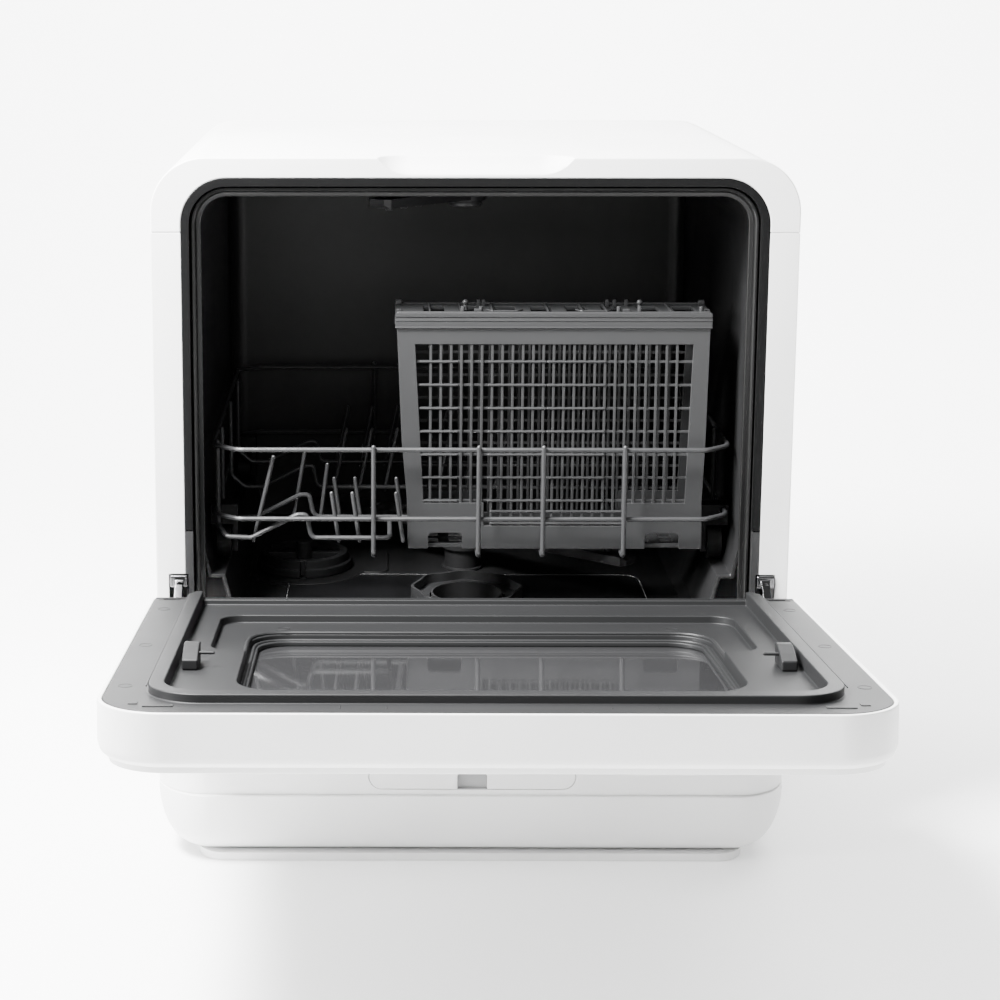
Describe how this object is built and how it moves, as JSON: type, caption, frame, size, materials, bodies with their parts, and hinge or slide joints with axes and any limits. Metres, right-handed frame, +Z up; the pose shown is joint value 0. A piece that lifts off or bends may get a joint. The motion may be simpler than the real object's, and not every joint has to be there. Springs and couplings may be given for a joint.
{
  "type": "countertop dishwasher",
  "caption": "Countertop dishwasher: rounded box housing, drop-down door with a window, sliding wire rack on rollers, lidded cutlery basket and spray arms.",
  "frame": {"origin": "centre of the footprint of the housing, on the underside of the base's plinth", "axes": "+X to the right as seen from the front, -Y out of the front, towards the open door's free edge, +Z up"},
  "size_m": [0.42, 0.6697, 0.4685],
  "materials": {
    "white_plastic": "satin",
    "white_enamel": "satin",
    "grey_trim": "satin",
    "dark_plastic": "satin",
    "grey_plastic": "satin",
    "light_grey_plastic": "satin",
    "black_plastic": "satin",
    "tub_steel": "brushed",
    "bright_steel": "polished",
    "plated_steel": "satin",
    "coated_wire": "satin",
    "smoked_glass": "polished",
    "black_rubber": "matte",
    "filter_mesh": "satin",
    "brass_fitting": "satin",
    "circuit_green": "satin"
  },
  "bodies": {
    "root": {"base_tray": "white_plastic", "front_fascia": "white_plastic", "service_pocket": "light_grey_plastic", "side_panel_left": "white_enamel", "side_panel_right": "white_enamel", "top_cover": "white_plastic", "rear_panel": "white_enamel", "panel_screws": "plated_steel", "tub": "tub_steel", "tub_legs": "grey_plastic", "tub_gasket": "black_rubber", "frame_trim": "grey_trim", "trim_feet": "grey_trim", "hinge_brackets": "plated_steel", "hinge_pins": "bright_steel", "door_springs": "bright_steel", "rubber_feet": "black_rubber", "sump": "dark_plastic", "wash_pump": "dark_plastic", "drain_pump": "dark_plastic", "water_heater": "plated_steel", "softener_tank": "light_grey_plastic", "filter_plate": "black_plastic", "feed_hub": "dark_plastic", "feed_pipe": "grey_plastic", "inlet_valve": "brass_fitting", "drain_outlet": "grey_plastic", "cord_gland": "black_rubber", "control_board": "circuit_green"},
    "door": {"door_shell": "white_plastic", "door_liner": "light_grey_plastic", "outer_panel": "white_plastic", "outer_window": "smoked_glass", "inner_window": "smoked_glass", "window_seal": "black_rubber", "touch_strip": "smoked_glass", "liner_stops": "light_grey_plastic", "hinge_arms": "bright_steel"},
    "rack": {"rack_frame": "coated_wire", "rack_tines": "coated_wire", "wheel_clips": "grey_plastic"},
    "basket": {"basket_body": "grey_plastic"},
    "lid": {"basket_lid": "grey_plastic"},
    "lower_arm": {"lower_spray_arm": "grey_plastic"},
    "upper_arm": {"upper_spray_arm": "grey_plastic"},
    "filter": {"filter_cup": "grey_plastic", "fine_filter": "filter_mesh"},
    "cap": {"softener_cap": "light_grey_plastic"},
    "flap": {"service_cover": "white_plastic"},
    "front_left_wheel": {"wheel_front_left": "grey_plastic"},
    "front_right_wheel": {"wheel_front_right": "grey_plastic"},
    "rear_left_wheel": {"wheel_rear_left": "grey_plastic"},
    "rear_right_wheel": {"wheel_rear_right": "grey_plastic"}
  },
  "joints": [
    {"name": "door_hinge", "type": "hinge", "parent": "root", "child": "door", "pos_m": [0, -0.1758, 0.1578], "axis": [-1, 0, 0], "range_deg": [0, 84]},
    {"name": "rack_slide", "type": "slide", "parent": "root", "child": "rack", "axis": [0, 0.9988, -0.0489], "range_m": [-0.235, 0]},
    {"name": "basket_lift", "type": "slide", "parent": "rack", "child": "basket", "axis": [0, 0, -1], "range_m": [-0.045, 0]},
    {"name": "basket_lid_hinge", "type": "hinge", "parent": "basket", "child": "lid", "pos_m": [0.0545, -0.0768, 0.35925], "axis": [1, 0, 0], "range_deg": [-90, 0]},
    {"name": "lower_arm_spin", "type": "hinge", "parent": "root", "child": "lower_arm", "pos_m": [0, 0.012, 0.182], "axis": [0, 0, 1], "continuous": true},
    {"name": "upper_arm_spin", "type": "hinge", "parent": "root", "child": "upper_arm", "pos_m": [0, 0.012, 0.429], "axis": [0, 0, 1], "continuous": true},
    {"name": "filter_twist", "type": "hinge", "parent": "root", "child": "filter", "pos_m": [0, -0.071, 0.15], "axis": [0, 0, 1], "range_deg": [-45, 0]},
    {"name": "softener_cap_turn", "type": "hinge", "parent": "root", "child": "cap", "pos_m": [-0.117, 0.007, 0.155], "axis": [0, 0, 1], "range_deg": [0, 270]},
    {"name": "service_flap", "type": "hinge", "parent": "root", "child": "flap", "pos_m": [0, -0.183, 0.0719], "axis": [1, 0, 0], "range_deg": [-75, 0]},
    {"name": "front_left_wheel_roll", "type": "hinge", "parent": "rack", "child": "front_left_wheel", "pos_m": [-0.168, -0.093, 0.1991], "axis": [1, 0, 0], "range_deg": [0, 1180]},
    {"name": "rear_left_wheel_roll", "type": "hinge", "parent": "rack", "child": "rear_left_wheel", "pos_m": [-0.168, 0.122, 0.1991], "axis": [1, 0, 0], "range_deg": [0, 1180]},
    {"name": "front_right_wheel_roll", "type": "hinge", "parent": "rack", "child": "front_right_wheel", "pos_m": [0.168, -0.093, 0.1991], "axis": [1, 0, 0], "range_deg": [0, 1180]},
    {"name": "rear_right_wheel_roll", "type": "hinge", "parent": "rack", "child": "rear_right_wheel", "pos_m": [0.168, 0.122, 0.1991], "axis": [1, 0, 0], "range_deg": [0, 1180]}
  ],
  "couplings": [
    {"joint": "front_left_wheel_roll", "follows": "rack_slide", "rad_per_m": -86.957},
    {"joint": "rear_left_wheel_roll", "follows": "rack_slide", "rad_per_m": -86.957},
    {"joint": "front_right_wheel_roll", "follows": "rack_slide", "rad_per_m": -86.957},
    {"joint": "rear_right_wheel_roll", "follows": "rack_slide", "rad_per_m": -86.957}
  ]
}
